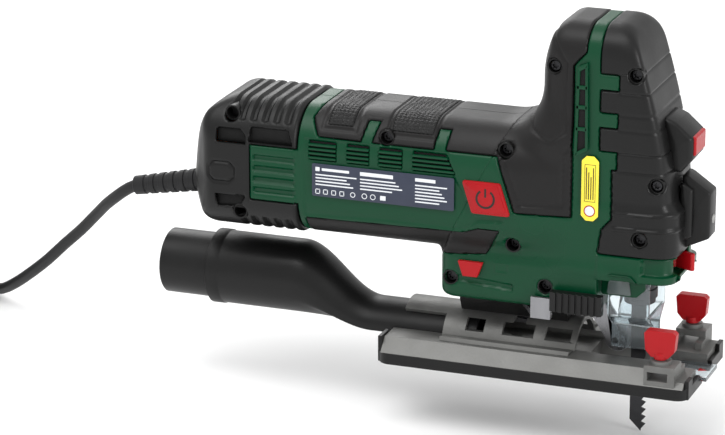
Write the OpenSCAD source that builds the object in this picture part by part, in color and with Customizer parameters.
// Barrel-grip jigsaw. Origin: middle of the sole's underside. +X is the cutting direction, +Z is up.

/* [Sole plate] */
// Front edge of the glide shoe from the origin
shoe_front = 80; // [76:1:84]
// Rear edge of the glide shoe behind the origin
shoe_rear = 87; // [84:1:92]
// Half width of the glide shoe
shoe_half_w = 37.5; // [36:0.5:39]
// Height of the flat rails of the sole plate
rail_top = 13; // [12.6:0.1:13.2]
// Height of the bevel axis over the sole
bevel_axis_z = 6; // [6:0.1:6.2]
// Outer radius of the bevel saddle
saddle_r = 20; // [19.8:0.1:20.1]

/* [Housing] */
// Height of the motor axis over the sole
motor_z = 96; // [95:0.5:97]
// Half width of the motor barrel
barrel_half_w = 33; // [32:0.5:34]
// Half height of the motor barrel
barrel_half_h = 34.5; // [34:0.5:35.5]
// Half width of the head and of the lower body
head_half_w = 27; // [26.5:0.5:27.5]
// Top of the head over the sole
head_top = 187; // [185:1:190]
// Underside of the lower body over the sole
body_bottom = 37; // [36.9:0.1:37.4]
// Wall of the housing shells
wall = 3; // [2.8:0.1:3.2]

/* [Drive] */
// Module of the gear pair
gear_module = 0.7; // [0.68:0.01:0.72]
// Teeth of the pinion on the motor shaft
pinion_teeth = 12; // [12:1:12]
// Teeth of the drive gear
gear_teeth = 56; // [56:1:56]
// Stroke of the saw blade
stroke = 20; // [18:1:20]

/* [Blade] */
// Lowest point of the blade under the sole, at the bottom of its stroke
blade_drop = 33; // [28:1:33]
// Tooth pitch of the blade
tooth_pitch = 4; // [3:0.5:4]
// Thickness of the blade
blade_t = 1.3; // [1:0.1:1.4]

/* [Dust extraction] */
// Radius of the hose stub
hose_stub_r = 17.5; // [17:0.1:17.6]
// Radius of the dust tube
dust_tube_r = 20; // [19.5:0.1:20.5]

/* [Mains lead] */
// Diameter of the lead
cord_d = 6.4; // [6:0.1:7]

/* [Hidden] */
$fn = 48;
skin = 2;                       // thickness of the soft overmould
cap_joint_x = -140;             // joint between the rear cap and the shells
cap_rear_x = -197;
barrel_front_x = -2;
body_rear_x = -57;
body_front_x = 68;
head_rear_x = -5;
blade_x = 40;                   // back edge of the blade
plunger_x = 44;
bolt_x = -17;                   // axis of the clamp bolt and of the clamping lever
roller_x = 32.8;
roller_z = 17;
roller_r = 7;
fork_pivot = [20, 42];
fence_x = 64;                   // middle of the fence slots and of their clamp screws
fence_y = 30;
saddle_t = 2.4;
gear_z = motor_z + gear_module*(pinion_teeth + gear_teeth)/2;
gear_x = [14, 22];
crank_r = stroke/2;
crank_z = gear_z - crank_r;
tube_z = 30;
floor_z = -blade_drop;
cord_r = cord_d/2;
coil_centre = [-419, 65];
coil_mid_r = 36.7;
coil_w = 25.8;
// Screws: [x, z, y of the head's seat]
screws = [[-84, 120, -24], [-20, 120, -24], [-16, 70, -21], [3.5, 165, -20],
          [46, 164, -20], [58, 108, -21], [50, 79, -21], [-50, 48, -21], [1, 49, -21]];
// The lead's way from the strain relief to the coil, and from the coil to the plug
cord_points = [[-197, 0, 77.6], [-217, 0, 73.6], [-238, 0, 69.5], [-256, 7, 57], [-270, 19, 44.5],
               [-284, 28, 31], [-298, 34, 18.5], [-311, 40, 6.5], [-325, 47, -5], [-339, 56, -15.5],
               [-354, 68, -25], [-367, 80, -29.2], [-379.5, 91.5, -29.8], [-392.4, 103, -29.8]];
// Its last turn lies on the coil and ends in the plug, which lies there too
tail_angles = [55, 360];
tail_shift = [-12, -11];        // how far the last turn is drawn off the coil's centre
tail_r = 28;
tail_rise = 11;
plug_origin = [-403, 54, 0.9];
relief_end = [-238, 0, 69.5];
relief_slope = 11;

// ---------- helpers ----------
module along_x(x0, x1) translate([x0, 0, 0]) rotate([90, 0, 90]) linear_extrude(x1 - x0) children();
module along_y(y0, y1) translate([0, y1, 0]) rotate([90, 0, 0]) linear_extrude(y1 - y0) children();
module along_z(z0, z1) translate([0, 0, z0]) linear_extrude(z1 - z0) children();
module box(x, y, z) translate([x[0], y[0], z[0]]) cube([x[1] - x[0], y[1] - y[0], z[1] - z[0]]);
module rod_x(x0, x1, r, y = 0, z = 0) translate([x0, y, z]) rotate([0, 90, 0]) cylinder(h = x1 - x0, r = r);
module rod_y(y0, y1, r, x = 0, z = 0) translate([x, y0, z]) rotate([-90, 0, 0]) cylinder(h = y1 - y0, r = r);
module rod_z(z0, z1, r, x = 0, y = 0) translate([x, y, z0]) cylinder(h = z1 - z0, r = r);
module tube_x(x0, x1, r_out, r_in, z) difference() {
    rod_x(x0, x1, r_out, 0, z);
    rod_x(x0 - 1, x1 + 1, r_in, 0, z);
}
module rounded_rect(w, h, r) {
    square([w - 2*r, h], center = true);
    square([w, h - 2*r], center = true);
    for (i = [-1, 1], j = [-1, 1]) translate([i*(w/2 - r), j*(h/2 - r)]) circle(r);
}
// A strip with round ends from p to q
module strip(p, q, w) {
    d = q - p;
    translate(p) rotate(atan2(d[1], d[0])) translate([0, -w/2]) square([norm(d), w]);
    for (c = [p, q]) translate(c) circle(w/2);
}
// A slice of a ring, from -half_angle to +half_angle about the vertical
module arc_slice(r_in, r_out, half_angle) intersection() {
    difference() { circle(r_out); circle(r_in); }
    polygon([[0, 0], for (a = [-half_angle, -half_angle/2, 0, half_angle/2, half_angle])
        2*r_out*[sin(a), cos(a)]]);
}

// ---------- outer form of the housing, moved inwards by i ----------
module barrel_form(i) along_x(cap_joint_x, barrel_front_x - i) translate([0, motor_z])
    rounded_rect(2*(barrel_half_w - i), 2*(barrel_half_h - i), 22 - i);
module lower_form(i) along_z(body_bottom + i, motor_z) translate([(body_rear_x + body_front_x)/2, 0])
    rounded_rect(body_front_x - body_rear_x - 2*i, 2*(head_half_w - i), 9 - i);
module head_form(i) intersection() {
    along_z(motor_z - 30, head_top - i) translate([(head_rear_x + body_front_x)/2, 0])
        rounded_rect(body_front_x - head_rear_x - 2*i, 2*(head_half_w - i), 16 - i);
    along_y(-40, 40) polygon([[-40, 40], [head_rear_x + i, 60], [head_rear_x + i, head_top - 13 - i],
        [head_rear_x + 9, head_top - i], [38, head_top - i], [49 - i, head_top - 9 - i], [57 - i, 142],
        [body_front_x - i, 112], [body_front_x - i, 40]]);
    along_x(-20, 90) translate([0, head_top - i - 100]) rounded_rect(2*(head_half_w - i), 200, 16 - i);
}
module body_form(i) union() {
    barrel_form(i);
    lower_form(i);
    head_form(i);
    // Passage for the motor shaft between the barrel's hollow and the head's
    if (i > 0) rod_x(barrel_front_x - 8, barrel_front_x + 6, 21.5, 0, motor_z);
}
module overmould_region() along_y(-40, 40) polygon([[-128, 119], [-24, 119], [-15, 90], [14, 88.5],
    [14, 200], [-128, 200]]);
module cover_region() along_y(-40, 40) polygon([[23, 200], [26, 165], [36, 112], [40, 73], [90, 73], [90, 200]]);
module trim_region() along_y(-40, 40) polygon([[-128, 50], [-128, 70], [-30, 77], [-57.2, 61.2], [-57.2, 50]]);
module nose_recess() {
    // Bay round the blade, pockets beside it for the chip guard, and room for the clamp screws when tilted
    box([30, 54], [-11.5, 11.5], [30, 63]);
    for (s = [-1, 1]) box([28, 70], s > 0 ? [13.3, 40] : [-40, -13.3], [30, 56]);
    rod_x(53.5, 90, 48.7, 0, bevel_axis_z);
    box([14, 31], [-6, 6], [30, 50]);
}
module screw_holes() for (s = screws) {
    rod_y(-50, s[2], 3.6, s[0], s[1]);
    rod_y(-50, 0, 1.5, s[0], s[1]);
}
module side_vents() for (x = [-122, -112, -93, -83, -66, -56]) along_y(-45, 45)
    translate([x, 111]) rounded_rect(8, 3, 1.4);
module shell(side) difference() {
    union() {
        difference() { body_form(0); body_form(wall); }
        if (side < 0) intersection() {
            body_form(0);
            for (s = screws) rod_y(-40, -16, 5.2, s[0], s[1]);
        }
    }
    box([-300, 300], side < 0 ? [0, 60] : [-60, 0], [-60, 260]);
    intersection() { overmould_region(); difference() { body_form(-1); body_form(skin); } }
    intersection() { trim_region(); difference() { body_form(-1); body_form(skin); } }
    cover_region();
    nose_recess();
    screw_holes();
    side_vents();
    rod_z(30, 50, 4, bolt_x, 0);
    // Windows for the power button, blower switch, speed and pendulum controls, and release lever
    along_y(-40, -20) power_button_outline(0.3);
    box([-45.5, -25.3], [-40, -20], [50.2, 58.9]);
    rod_y(20, 40, 3.05, 10, 62);
    box([60, 80], [-17, 3], [59.6, 69.4]);
    head_vent_windows();
}
module head_vent_windows() for (y = [-40, 20]) box([15, 23], [y, y + 20], [126, 166]);

module housing_right() color("darkgreen") shell(-1);
module housing_left() color("darkgreen") shell(1);

module rear_cap_form(i) intersection() {
    along_x(cap_rear_x + i, cap_joint_x) translate([0, motor_z])
        rounded_rect(2*(barrel_half_w + 1 - i), 2*(barrel_half_h + 1 - i), 23 - i);
    translate([0, 0, motor_z]) rotate([0, 90, 0]) rotate_extrude()
        polygon([[0, cap_rear_x + i], [27 - i, cap_rear_x + i], [36 - i, cap_rear_x + 8 + i],
            [48, cap_joint_x - 30], [60, cap_joint_x], [0, cap_joint_x]]);
}
module rear_cap() color([0.16, 0.16, 0.16]) difference() {
    rear_cap_form(0);
    intersection() { rear_cap_form(wall); box([-300, cap_joint_x - 1], [-60, 60], [0, 200]); }
    rod_x(cap_joint_x - 5, cap_joint_x + 1, 29, 0, motor_z);
    for (z = [84 : 6 : 108]) box([-156, -134], [-60, 60], [z, z + 2.5]);
    for (z = [113, 78]) box([-173, -165], [-60, 60], [z, z + 5]);
    translate(relief_end) rotate([0, 90 - relief_slope, 0]) cylinder(h = 60, r = 7.3);
    rod_y(20, 40, 12.3, -182, motor_z);
}
module front_cover() color([0.15, 0.15, 0.15]) difference() {
    intersection() {
        union() {
            difference() { head_form(0); head_form(wall); }
            intersection() {
                head_form(0);
                for (s = screws) if (s[0] > 45) rod_y(-40, -16, 5.2, s[0], s[1]);
            }
        }
        cover_region();
    }
    screw_holes();
    for (z = [92, 112, 128, 150]) for (s = [-1, 1])
        box([44, 90], s > 0 ? [head_half_w - 1, 60] : [-60, 1 - head_half_w], [z, z + 2]);
}
module overmould(side) difference() {
    intersection() {
        overmould_region();
        difference() { body_form(0); body_form(skin); }
    }
    box([-300, 300], side < 0 ? [0, 60] : [-60, 0], [-60, 260]);
    screw_holes();
}
module grip_overmould_right() color([0.14, 0.14, 0.14]) overmould(-1);
module grip_overmould_left() color([0.14, 0.14, 0.14]) overmould(1);
module underside_trim() color([0.14, 0.14, 0.14]) difference() {
    intersection() {
        trim_region();
        difference() { body_form(0); body_form(skin); }
    }
    screw_holes();
}
module head_vent(side) color([0.12, 0.12, 0.12]) difference() {
    box([15, 23], side < 0 ? [-head_half_w, 2.5 - head_half_w] : [head_half_w - 2.5, head_half_w], [126, 166]);
    for (z = [128 : 9.6 : 160]) box([16.5, 21.5], side < 0 ? [-60, 0] : [0, 60], [z, z + 7]);
}
module head_vent_right() head_vent(-1);
module head_vent_left() head_vent(1);

module nameplate() color([0.24, 0.26, 0.32]) along_y(-barrel_half_w - 0.5, -barrel_half_w)
    polygon([[-123.5, 86], [-46, 86], [-46, 103.6], [-123.5, 103.6]]);
module warning_label() color([0.95, 0.85, 0.3]) along_y(-head_half_w - 0.3, -head_half_w)
    polygon([[19.5, 91], [24, 87], [28.5, 91], [28.5, 117], [24, 121], [19.5, 117]]);
module housing_screws() color("dimgray") for (s = screws) {
    rod_y(s[2] - 2.4, s[2], 3.4, s[0], s[1]);
    rod_y(s[2], -12, 1.5, s[0], s[1]);
}

// ---------- buttons and switches ----------
module power_button_outline(gap) polygon([[-42 - 1.1*gap, 103.4 + gap], [-21.4 + 1.1*gap, 103.4 + gap],
    [-15.8 + 1.1*gap, 86.2 - gap], [-36.4 - 1.1*gap, 86.2 - gap]]);
module power_button() color([0.78, 0.1, 0.12]) along_y(-barrel_half_w - 1.6, -27.6) power_button_outline(0);
module power_switch() color([0.2, 0.2, 0.2]) box([-41, -17], [-24, -12], [84, 105]);
module blower_switch() color([0.78, 0.1, 0.12]) {
    along_y(-head_half_w - 2.8, -head_half_w - 0.2) polygon([[-45.2, 58.6], [-31.6, 58.6], [-34.6, 50.5], [-42.4, 50.5]]);
    box([-42, -35], [-head_half_w - 0.2, -head_half_w + 5], [51.5, 57.5]);
}
module speed_dial() color([0.2, 0.2, 0.2]) difference() {
    rod_y(30.2, 36, 12, -182, motor_z);
    for (k = [0 : 11]) translate([-182, 0, motor_z]) rotate([0, k*30, 0]) rod_y(33, 37, 1.2, 12, 0);
}
module speed_control_board() color([0.1, 0.35, 0.2]) {
    box([-170, -146], [-14, 14], [67, 68.6]);
    box([-166, -158], [-10, -2], [68.6, 76]);
    rod_z(68.6, 78, 4, -152, 6);
}
module pendulum_selector() color([0.16, 0.16, 0.16]) {
    rod_y(18, head_half_w + 0.2, 3, 10, 62);
    rod_y(head_half_w + 0.2, 32, 9, 10, 62);
    along_y(32, 35) strip([10, 62], [21, 62], 6);
}

// ---------- laser ----------
module laser_module() color([0.13, 0.13, 0.13]) difference() {
    along_y(-6.5, 6.5) polygon([[body_front_x, 110.5], [81, 101.5], [81, 77.4], [body_front_x, 71.5]]);
    rod_x(79, 82, 2.5, 0, 84);
}
module laser_lens() color([0.9, 0.5, 0.5]) rod_x(79, 80.8, 2.5, 0, 84);
module laser_bezel() color([0.12, 0.12, 0.12]) difference() {
    along_y(-12.5, 12.5) polygon([[55, 138], [61, 138], [70.5, 133.5], [72.5, 119], [68.6, 112], [60, 112]]);
    head_form(0);
    box([64, 80], [-9.8, 9.8], [120.7, 131.3]);
}
module laser_button() color([0.78, 0.1, 0.12]) box([66.5, 73.6], [-9.5, 9.5], [121, 131]);

module release_lever() color([0.78, 0.1, 0.12]) {
    rod_z(60, 69, 5, 60, -1);
    along_z(60, 69) strip([60, -1], [72.5, -7], 3);
}

// ---------- sole ----------
// The opening round the blade widens upwards, so that it clears the blade when the sole tilts
module blade_gap(x0, x1) along_x(x0, x1) polygon([[-9.5, -1], [9.5, -1], [17.5, 14], [17.5, 30], [-17.5, 30], [-17.5, 14]]);
module glide_shoe() color([0.13, 0.13, 0.13]) difference() {
    union() {
        along_z(0, 6) translate([(shoe_front - shoe_rear)/2, 0]) rounded_rect(shoe_front + shoe_rear, 2*shoe_half_w, 7);
        for (s = [-1, 1]) {
            box([shoe_front - 6, shoe_front], [s*30 - 4, s*30 + 4], [0, 10]);
            box([-shoe_rear, -shoe_rear + 2.4], [s*28 - 6, s*28 + 6], [0, 14]);
        }
    }
    box([2.4 - shoe_rear, shoe_front - 2.4], [2.3 - shoe_half_w, shoe_half_w - 2.3], [2.4, 20]);
    blade_gap(20, 55);
    box([50, 90], [-7, 7], [-1, 20]);
    box([54, 90], [-11.4, 11.4], [2.4, 20]);
}
module sole_plate() color([0.62, 0.62, 0.62]) difference() {
    union() {
        difference() {
            along_x(-84.5, 77.5) polygon([[-35.1, 2.4], [35.1, 2.4], [35.1, 6], [37, 6], [30, rail_top],
                [-30, rail_top], [-37, 6], [-35.1, 6]]);
            box([-100, 100], [-16, 16], [9, 40]);
        }
        for (s = [-1, 1]) {
            box([57, 73], s > 0 ? [23.5, 36.6] : [-36.6, -23.5], [6, 17]);
            rod_z(16, 19, 5.5, fence_x, s*fence_y);
        }
    }
    blade_gap(20, 55);
    box([50, 90], [-11.4, 11.4], [0, 20]);
    box([58.7, 69.3], [-60, 60], [9, 13.6]);
    for (s = [-1, 1]) {
        rod_z(12, 30, 2.55, fence_x, s*fence_y);
        box([73, 90], s > 0 ? [16, 60] : [-60, -16], [9, 40]);
        for (x = [-70 : 18 : 0]) box([x, x + 12], s > 0 ? [20, 28] : [-28, -20], [0, 8]);
    }
}
module bevel_saddle() color([0.78, 0.78, 0.78]) difference() {
    union() {
        along_x(-57, 15) translate([0, bevel_axis_z]) intersection() {
            difference() { circle(saddle_r); circle(saddle_r - saddle_t); }
            translate([-30, rail_top - bevel_axis_z]) square([60, 40]);
        }
        along_x(-80, -56) translate([0, bevel_axis_z]) arc_slice(saddle_r - saddle_t, saddle_r, 34);
    }
    for (x = [[-45, -35], [-25, -8], [-2, 12]]) box(x, [-30, 30], [16.5, 22]);
    along_x(-20.4, -13.6) translate([0, bevel_axis_z]) arc_slice(10, 40, 56);
}
module splinter_insert() color([0.9, 0.92, 0.93, 0.6]) difference() {
    box([55, 83], [-10.9, 10.9], [2.4, 4.5]);
    along_z(0, 10) polygon([[54, -3], [64, 0], [54, 3]]);
}
module fence_screw(side) color([0.78, 0.1, 0.12]) translate([fence_x, side*fence_y, 0]) {
    rod_z(13.7, 19.4, 2.5);
    rod_z(19.4, 22.5, 3.6);
    along_y(-2.6, 2.6) polygon([[-4.5, 20.5], [4.5, 20.5], [7.6, 24], [8.4, 33], [6.6, 34.5], [-6.6, 34.5],
        [-8.4, 33], [-7.6, 24]]);
}
module fence_screw_right() fence_screw(-1);
module fence_screw_left() fence_screw(1);

// ---------- dust extraction ----------
module neck_outline(i) translate([0, bevel_axis_z]) intersection() {
    circle(17.2 - i);
    translate([-15.6 + i, 3.4 + i]) square([31.2 - 2*i, 30]);
}
module dust_tube() color([0.15, 0.15, 0.15]) difference() {
    union() {
        rod_x(-191, -134, dust_tube_r, 0, tube_z);
        hull() {
            rod_x(-135, -134, dust_tube_r, 0, tube_z);
            along_x(-99, -98) neck_outline(0);
        }
        along_x(-99, -40) neck_outline(0);
    }
    rod_x(-192, -134, hose_stub_r + 0.18, 0, tube_z);
    hull() {
        rod_x(-135, -134, hose_stub_r, 0, tube_z);
        along_x(-99, -98) neck_outline(1.8);
    }
    along_x(-99, -39) neck_outline(1.8);
}
module hose_adapter() color([0.14, 0.14, 0.14]) difference() {
    union() {
        rod_x(-218, -193.4, hose_stub_r, 0, tube_z);
        rod_x(-193.4, -191, dust_tube_r, 0, tube_z);
        rod_x(-191, -170, hose_stub_r + 0.1, 0, tube_z);
    }
    rod_x(-219, -169, hose_stub_r - 2.2, 0, tube_z);
}

// ---------- clamp between the head and the sole ----------
module foot_bracket() color([0.3, 0.3, 0.3]) difference() {
    along_x(-50, 8) polygon([[-7.8, 18], [-7.8, 25], [-12, 34], [-12, body_bottom], [12, body_bottom], [12, 34], [7.8, 25], [7.8, 18]]);
    rod_x(-60, 20, saddle_r + 0.3, 0, bevel_axis_z);
    box([-30, -2], [-20, 20], [32.4, 60]);
    rod_z(10, 60, 4, bolt_x, 0);
}
module clamp_bolt() color([0.6, 0.6, 0.6]) {
    rod_z(20.5, 28, 2.6, bolt_x, 0);
    rod_z(28, 44, 4, bolt_x, 0);
}
module clamp_plate() color([0.55, 0.55, 0.55]) difference() {
    along_x(-32, -2) translate([0, bevel_axis_z]) arc_slice(14.6, 17.1, 17);
    rod_z(10, 30, 2.6, bolt_x, 0);
}
module lever_arm() color([0.75, 0.75, 0.75]) difference() {
    union() {
        along_z(33.2, 36.2) strip([bolt_x, 0], [-1, -25.5], 11);
        rod_z(32.6, 36.4, 8, bolt_x, 0);
        box([-5, 5.5], [-31.6, -28], [33.2, 36.2]);
        box([-5, 5.5], [-31.6, -29.6], [33.2, 44.5]);
    }
    rod_z(20, 60, 4.05, bolt_x, 0);
}
module lever_grip() color([0.13, 0.13, 0.13]) difference() {
    along_z(38.6, 49) polygon([[5.5, -29], [5.5, -33], [9, -34.4], [31, -34.4], [33, -33], [33, -29]]);
    for (x = [9 : 3.4 : 30]) box([x, x + 1.4], [-40, -33.4], [30, 60]);
}

// ---------- blade and plunger ----------
function blade_teeth(z0, z1) = [for (z = [z0 : tooth_pitch : z1]) each [[46, z], [48.4, z + tooth_pitch*0.75], [46, z + tooth_pitch*0.98]]];
module saw_blade() color([0.15, 0.15, 0.17]) along_y(-blade_t/2, blade_t/2)
    polygon([[blade_x, 45], [blade_x, floor_z + 6], [46, floor_z], each blade_teeth(floor_z + 1, 2), [47.6, 8], [47.6, 45]]);
module blade_clamp() color([0.35, 0.35, 0.37]) difference() {
    union() {
        rod_z(38, 52, 8, plunger_x, 0);
        rod_z(41, 46, 9, plunger_x, 0);
    }
    box([blade_x, 47.6], [-blade_t/2, blade_t/2], [30, 45]);
    rod_z(50, 60, 4.5, plunger_x, 0);
}
module plunger() color([0.7, 0.7, 0.72]) difference() {
    union() {
        rod_z(50, crank_z, 4.5, plunger_x, 0);
        rod_z(crank_z, 147, 3.5, plunger_x, 0);
        box([30.5, 42], [-15, 15], [crank_z - 6.5, crank_z + 6.5]);
    }
    box([29, 37.5], [-13.2, 13.2], [crank_z - 3.3, crank_z + 3.3]);
}
// Seats of the two bushes: [low z, radius of the rod in it]
bush_seats = [[76, 4.5], [138, 3.5]];
bush_h = 8;
module plunger_frame() color([0.6, 0.6, 0.6]) difference() {
    union() {
        box([49, 52], [-12, 12], [bush_seats[0][0], bush_seats[1][0] + bush_h]);
        for (b = bush_seats) box([36, 50], [-12, 12], [b[0], b[0] + bush_h]);
    }
    rod_z(70, 160, 7, plunger_x, 0);
}
module plunger_bushes() color([0.75, 0.55, 0.25]) for (b = bush_seats) difference() {
    rod_z(b[0], b[0] + bush_h, 7, plunger_x, 0);
    rod_z(b[0] - 1, b[0] + bush_h + 1, b[1] + 0.05, plunger_x, 0);
}

// ---------- gear pair ----------
function involute(a) = tan(a)*180/PI - a;
function tooth_half(r, rb, rp, thick) = thick + involute(acos(rb/rp)) - involute(acos(min(1, rb/r)));
function polar(r, a) = [r*cos(a), r*sin(a)];
function gear_outline(n, phase) = let (rp = gear_module*n/2, rb = rp*cos(20), tip = rp + 0.7*gear_module,
        root = rp - 0.93*gear_module, thick = 0.42*180/n, low = max(rb, root),
        rs = [for (k = [0 : 3]) low + (tip - low)*k/3])
    [for (t = [0 : n - 1]) let (c = phase + 360*t/n) each [
        polar(root, c - tooth_half(low, rb, rp, thick)),
        for (r = rs) polar(r, c - tooth_half(r, rb, rp, thick)),
        for (k = [3 : -1 : 0]) polar(rs[k], c + tooth_half(rs[k], rb, rp, thick)),
        polar(root, c + tooth_half(low, rb, rp, thick))]];
module drive_gear() color([0.72, 0.72, 0.7]) {
    difference() {
        along_x(gear_x[0], gear_x[1]) translate([0, gear_z]) polygon(gear_outline(gear_teeth, -90 + 180/gear_teeth));
        rod_x(0, 40, 4.05, 0, gear_z);
        for (a = [0 : 60 : 300]) rod_x(0, 40, 2.6, 13.5*cos(a), gear_z + 13.5*sin(a));
    }
    rod_x(gear_x[1], 29.6, 3, 0, crank_z);
}
module pinion() color([0.6, 0.6, 0.62]) difference() {
    along_x(gear_x[0], gear_x[1] + 0.5) translate([0, motor_z]) polygon(gear_outline(pinion_teeth, 90));
    rod_x(0, 40, 2.6, 0, motor_z);
}
module gear_axle() color([0.65, 0.65, 0.65]) rod_x(-2, 21.5, 4, 0, gear_z);
module gear_case() color([0.66, 0.66, 0.66]) difference() {
    intersection() {
        body_form(wall);
        box([-2, 4], [-22, 22], [80, 148]);
    }
    rod_x(-10, 10, 9.5, 0, motor_z);
    rod_x(-10, 10, 4, 0, gear_z);
}

// ---------- motor ----------
module motor_shaft() color([0.7, 0.7, 0.72]) {
    rod_x(-184, 8, 4, 0, motor_z);
    rod_x(8, 24, 2.6, 0, motor_z);
}
module armature() color([0.5, 0.32, 0.2]) difference() {
    union() {
        rod_x(-134, -94, 17, 0, motor_z);
        rod_x(-141, -87, 13.5, 0, motor_z);
    }
    rod_x(-150, -80, 4, 0, motor_z);
    for (a = [0 : 30 : 330]) rod_x(-135, -93, 1.3, 16.5*cos(a), motor_z + 16.5*sin(a));
}
module commutator() color([0.72, 0.45, 0.2]) difference() {
    tube_x(-162, -148, 11, 4, motor_z);
    for (a = [0 : 15 : 345]) translate([0, 0, motor_z]) rotate([a, 0, 0]) box([-163, -147], [-0.25, 0.25], [10, 12]);
}
module cooling_fan() color([0.2, 0.2, 0.2]) {
    tube_x(-76, -66, 7, 4, motor_z);
    tube_x(-76, -74.5, 25, 6.9, motor_z);
    for (a = [0 : 36 : 324]) translate([0, 0, motor_z]) rotate([a, 0, 0]) box([-74.6, -67], [-0.7, 0.7], [9, 25]);
}
module stator() color([0.4, 0.4, 0.42]) difference() {
    intersection() {
        rod_x(-134, -94, 29.9, 0, motor_z);
        box([-134, -94], [-29, 29], [motor_z - 29.9, motor_z + 29.9]);
    }
    rod_x(-150, -80, 17.6, 0, motor_z);
    for (s = [-1, 1]) box([-150, -80], s > 0 ? [17, 25] : [-25, -17], [motor_z - 7, motor_z + 7]);
}
module motor_bearings() color([0.7, 0.7, 0.7]) for (x = [-182, -2]) tube_x(x, x + 6, 9.5, 4.05, motor_z);
module brush_gear() color([0.35, 0.28, 0.2]) difference() {
    union() {
        tube_x(-182, -176, 29, 9.5, motor_z);
        for (s = [-1, 1]) {
            box([-160, -150], s > 0 ? [11.3, 24] : [-24, -11.3], [motor_z - 4, motor_z + 4]);
            box([-178, -158], s > 0 ? [19, 24] : [-24, -19], [motor_z - 4, motor_z + 4]);
        }
    }
    for (a = [45 : 90 : 315]) rod_x(-190, -170, 6, 19*cos(a), motor_z + 19*sin(a));
}

// ---------- blade guide and guard ----------
module guide_roller() color([0.8, 0.8, 0.8]) difference() {
    rod_y(-2.5, 2.5, roller_r, roller_x, roller_z);
    rod_y(-5, 5, 1.86, roller_x, roller_z);
}
module roller_fork() color([0.75, 0.75, 0.75]) {
    for (s = [-1, 1]) along_y(s > 0 ? 2.9 : -4.5, s > 0 ? 4.5 : -2.9) {
        strip(fork_pivot, [24, 30], 9);
        strip([24, 30], [roller_x, roller_z], 9);
    }
    rod_y(-5.2, 5.2, 1.8, roller_x, roller_z);
    rod_y(-5.2, 5.2, 2, fork_pivot[0], fork_pivot[1]);
}
module guard_outline(i) polygon([[-15.2 + i, 54], [-15.2 + i, 34], [-6.7 + i, 27], [-6.7 + i, 14],
    [6.7 - i, 14], [6.7 - i, 27], [15.2 - i, 34], [15.2 - i, 54]]);
module chip_guard() color([0.85, 0.9, 0.92, 0.4]) difference() {
    along_x(31, 53.2) guard_outline(0);
    along_x(30, 51.6) translate([0, -1]) guard_outline(1.5);
    along_x(30, 51.6) guard_outline(1.5);
    box([30, 54], [-13.7, 13.7], [34.5, 60]);
}

// ---------- mains lead ----------
module strain_relief() color([0.12, 0.12, 0.12]) translate(relief_end) rotate([0, 90 - relief_slope, 0]) difference() {
    union() {
        cylinder(h = 42, r1 = 5.1, r2 = 6.4);
        translate([0, 0, 41.2]) cylinder(h = 7, r = 7.2);
    }
    translate([0, 0, -1]) cylinder(h = 60, r = 3.2);
}
function cr(p, k, t) = let (a = p[max(k - 1, 0)], b = p[k], c = p[k + 1], d = p[min(k + 2, len(p) - 1)])
    0.5*(2*b + (c - a)*t + (2*a - 5*b + 4*c - d)*t*t + (3*b - a - 3*c + d)*t*t*t);
function smooth_path(p, steps) = [for (k = [0 : len(p) - 2]) for (j = [0 : steps - 1]) cr(p, k, j/steps), p[len(p) - 1]];
function unit(v) = v/norm(v);
function tangent(p, k) = unit(p[min(k + 1, len(p) - 1)] - p[max(k - 1, 0)]);
module sweep_tube(path, r, sides) {
    n = len(path);
    rings = [for (k = [0 : n - 1]) let (t = tangent(path, k), u = unit(cross(t, [0, 0.3, 1])), v = cross(u, t))
        for (j = [0 : sides - 1]) path[k] + r*(cos(360*j/sides)*u + sin(360*j/sides)*v)];
    walls = [for (k = [0 : n - 2], j = [0 : sides - 1]) let (a = k*sides + j, b = k*sides + (j + 1)%sides)
        [a, a + sides, b + sides, b]];
    polyhedron(points = rings, faces = [[for (j = [0 : sides - 1]) j], each walls,
        [for (j = [sides - 1 : -1 : 0]) (n - 1)*sides + j]]);
}
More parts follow.
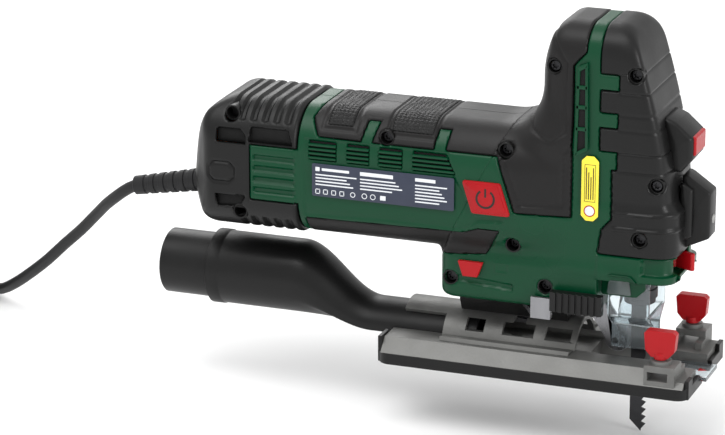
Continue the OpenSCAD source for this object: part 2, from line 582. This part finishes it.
module cord_run() color([0.1, 0.1, 0.1]) sweep_tube(smooth_path(cord_points, 2), cord_r, 8);
module cord_coil() color([0.1, 0.1, 0.1]) translate([coil_centre[0], coil_centre[1], floor_z])
    rotate_extrude() translate([coil_mid_r - coil_w/2, 0]) square([coil_w, 19.7]);
function ease(u) = let (c = max(0, min(1, u))) c*c*(3 - 2*c);
module cord_tail() color([0.1, 0.1, 0.1]) sweep_tube([for (k = [0 : 22]) let (u = k/22, a = tail_angles[0] +
    u*(tail_angles[1] - tail_angles[0])) [coil_centre[0] + ease(u)*tail_shift[0] + tail_r*cos(a),
    coil_centre[1] + ease(u)*tail_shift[1] + tail_r*sin(a),
    plug_origin[2] - tail_rise*(1 - ease((u - 0.45)/0.55))]], cord_r, 8);
module power_plug() color([0.12, 0.12, 0.12]) translate(plug_origin) rotate([-90, 0, 0]) {
    cylinder(h = 16, r1 = 4.6, r2 = 6.2);
    translate([0, 0, 16]) cylinder(h = 18, r1 = 8, r2 = 13);
    translate([0, 0, 34]) cylinder(h = 8, r = 14.2);
    for (s = [-1, 1]) translate([s*9.5, 0, 42]) cylinder(h = 19, r = 2.4);
}

glide_shoe();
sole_plate();
bevel_saddle();
splinter_insert();
fence_screw_right();
fence_screw_left();
dust_tube();
hose_adapter();
housing_right();
housing_left();
rear_cap();
front_cover();
grip_overmould_right();
grip_overmould_left();
underside_trim();
head_vent_right();
head_vent_left();
nameplate();
warning_label();
housing_screws();
power_button();
power_switch();
blower_switch();
speed_dial();
speed_control_board();
pendulum_selector();
laser_module();
laser_lens();
laser_bezel();
laser_button();
release_lever();
foot_bracket();
clamp_bolt();
clamp_plate();
lever_arm();
lever_grip();
saw_blade();
blade_clamp();
plunger();
plunger_bushes();
plunger_frame();
drive_gear();
gear_axle();
gear_case();
motor_shaft();
pinion();
armature();
commutator();
cooling_fan();
stator();
motor_bearings();
brush_gear();
guide_roller();
roller_fork();
chip_guard();
strain_relief();
cord_run();
cord_coil();
cord_tail();
power_plug();
